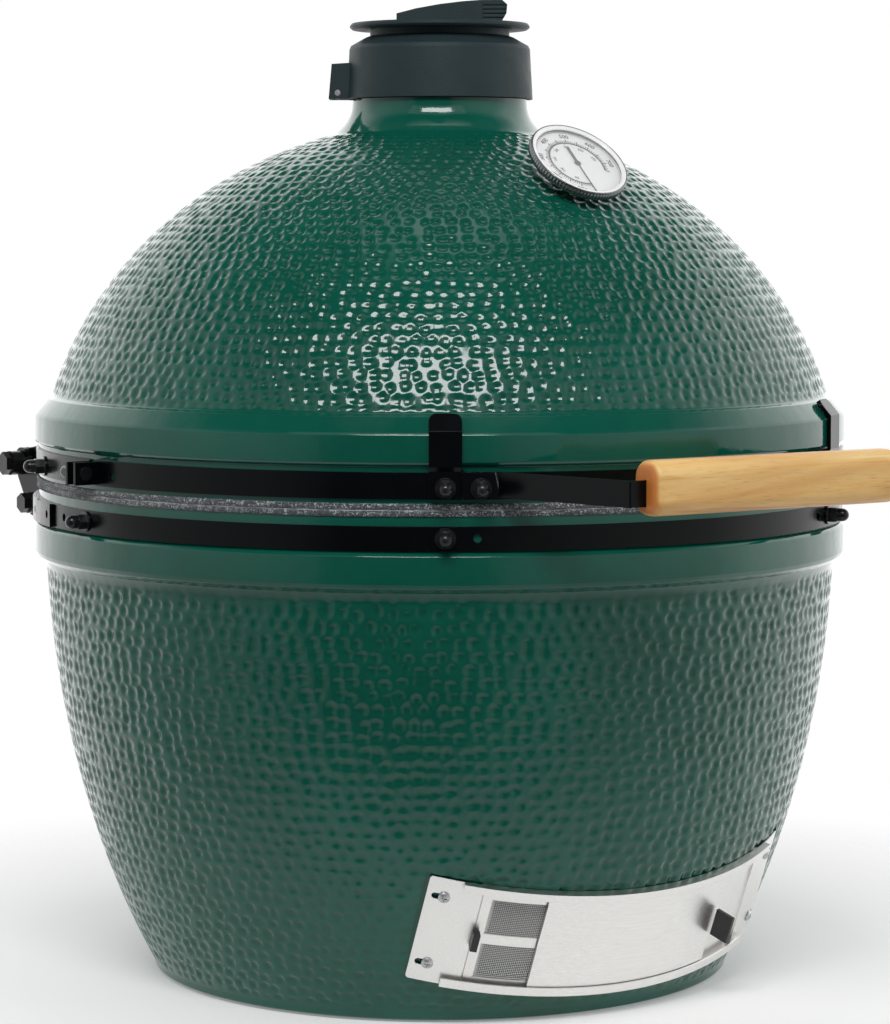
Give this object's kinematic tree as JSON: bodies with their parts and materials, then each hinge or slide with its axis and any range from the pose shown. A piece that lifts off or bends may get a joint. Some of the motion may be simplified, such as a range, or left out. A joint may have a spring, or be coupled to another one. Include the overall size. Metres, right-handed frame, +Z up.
{
  "type": "kamado ceramic grill",
  "caption": "Egg-shaped ceramic charcoal grill with a spring-hinged dome, steel bands, wooden front handle, dial thermometer, turning vent cap and sliding draft door.",
  "frame": {"origin": "centre of the foot, on the surface that the grill stands on", "axes": "+Z up along the axis of the ceramic shells, -Y towards the front with the draft door and the handle, +X to the right seen from the front"},
  "size_m": [0.72, 0.8668, 0.8152],
  "materials": {
    "glazed_ceramic": "glossy dark green glaze over a dimpled body",
    "fire_clay": "matte",
    "cast_iron": "matte",
    "grid_steel": "satin",
    "felt": "woven grey felt",
    "black_steel": "semi-gloss black powder coat",
    "black_fasteners": "black zinc",
    "spring_steel": "dark oiled",
    "stainless": "brushed",
    "spark_mesh": "woven wire",
    "black_grip": "soft black vinyl",
    "light_wood": "oiled light hardwood",
    "bezel_steel": "polished",
    "dial_face": "satin white with black marks",
    "dial_glass": "clear",
    "needle_black": "satin black",
    "cast_cap": "matte dark grey-green coating on cast aluminium",
    "plain_steel": "zinc plated"
  },
  "bodies": {
    "base": {"base_shell": "glazed_ceramic", "fire_box": "fire_clay", "fire_ring": "fire_clay", "fire_grate": "cast_iron", "cooking_grid": "grid_steel", "base_gasket": "felt", "lower_band": "black_steel", "lower_band_bolts": "black_fasteners", "hinge_base_bracket": "black_steel", "hinge_lower_rod": "black_fasteners", "hinge_springs": "spring_steel", "door_frame": "stainless", "door_frame_screws": "plain_steel"},
    "dome": {"dome_shell": "glazed_ceramic", "dome_gasket": "felt", "upper_band": "black_steel", "upper_band_bolts": "black_fasteners", "band_clamp_bolts": "black_fasteners", "dome_tab_left": "black_steel", "dome_tab_right": "black_steel", "handle_strap_left": "black_steel", "handle_strap_right": "black_steel", "handle": "light_wood", "hinge_dome_bracket": "black_steel", "hinge_shaft": "black_fasteners", "hinge_spacers": "black_fasteners", "thermometer_case": "bezel_steel", "thermometer_dial": "dial_face", "thermometer_glass": "dial_glass", "thermometer_clip": "plain_steel", "neck_collar": "cast_cap"},
    "vent_cap": {"vent_cap": "cast_cap", "vent_cap_pin": "plain_steel", "vent_disc_bolt": "plain_steel"},
    "vent_disc": {"vent_disc": "cast_cap"},
    "door_panel": {"door_panel": "stainless", "door_panel_grip": "black_grip"},
    "spark_screen": {"screen_frame": "stainless", "screen_mesh": "spark_mesh", "screen_grip": "black_grip"},
    "needle": {"thermometer_needle": "needle_black"}
  },
  "joints": [
    {"name": "dome_hinge", "type": "hinge", "parent": "base", "child": "dome", "pos_m": [0, 0.4, 0.41], "axis": [-1, 0, 0], "range_deg": [0, 70], "stiffness_Nm_per_rad": 55, "springref_deg": 70},
    {"name": "vent_cap_hinge", "type": "hinge", "parent": "dome", "child": "vent_cap", "pos_m": [-0.07063, 0.04818, 0.737], "axis": [-0.5635, -0.8261, 0], "range_deg": [0, 100]},
    {"name": "vent_disc_turn", "type": "hinge", "parent": "vent_cap", "child": "vent_disc", "pos_m": [0, 0, 0.79], "axis": [0, 0, 1], "range_deg": [-30, 30]},
    {"name": "door_panel_slide", "type": "hinge", "parent": "base", "child": "door_panel", "pos_m": [0, 0, 0.17805], "axis": [0, -0.3883, 0.9215], "range_deg": [-8, 10]},
    {"name": "spark_screen_slide", "type": "hinge", "parent": "base", "child": "spark_screen", "pos_m": [0, 0, 0.17805], "axis": [0, -0.3883, 0.9215], "range_deg": [0, 9]},
    {"name": "needle_turn", "type": "hinge", "parent": "dome", "child": "needle", "pos_m": [0, -0.1834, 0.66334], "axis": [0, -0.6691, 0.7431], "range_deg": [-290, 0]}
  ]
}
